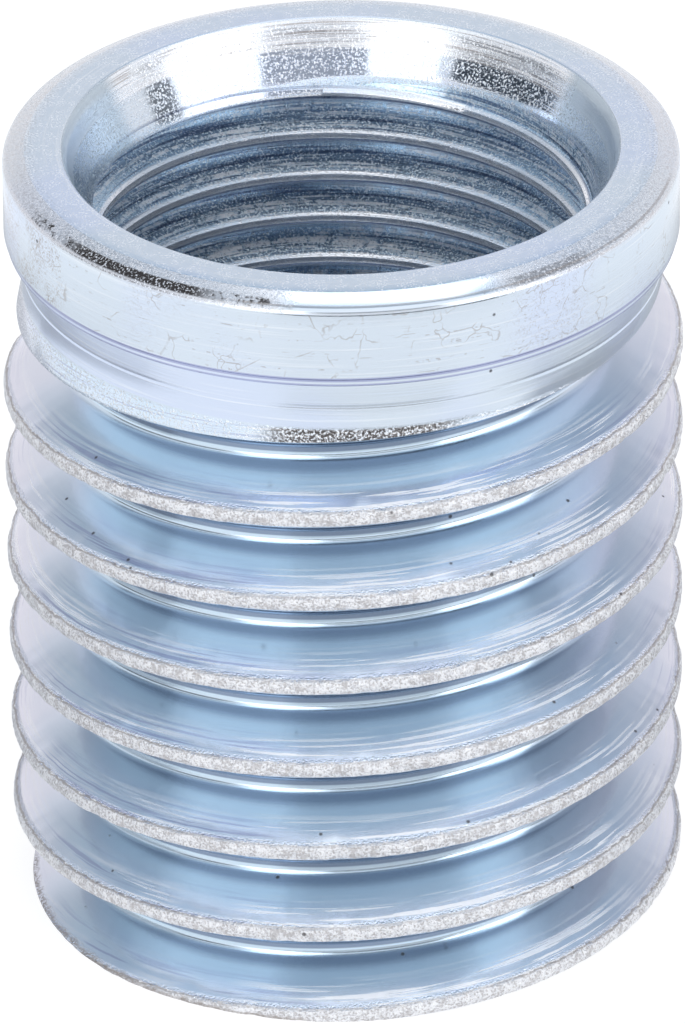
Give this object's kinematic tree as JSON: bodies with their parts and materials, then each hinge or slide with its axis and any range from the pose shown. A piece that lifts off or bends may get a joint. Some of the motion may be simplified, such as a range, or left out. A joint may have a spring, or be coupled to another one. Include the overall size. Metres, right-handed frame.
{
  "type": "threaded insert",
  "caption": "Flanged thread-repair sleeve: coarse outer thread that screws into the parent metal, fine inner thread for a plug, plain neck and collar.",
  "frame": {"origin": "centre of the flat plain end, on the sleeve's axis", "axes": "+Z along the axis from the plain end to the collar; the outer thread's first whole crest under the neck has its upper edge 15.38 mm up on the side that faces -Y"},
  "size_m": [0.018, 0.018, 0.0215],
  "materials": {
    "zinc_plated_steel": "turned steel with bright blue-passivated zinc plating, fine circular tool marks and a few small pits"
  },
  "bodies": {
    "root": {"insert_sleeve": "zinc_plated_steel"}
  },
  "joints": []
}
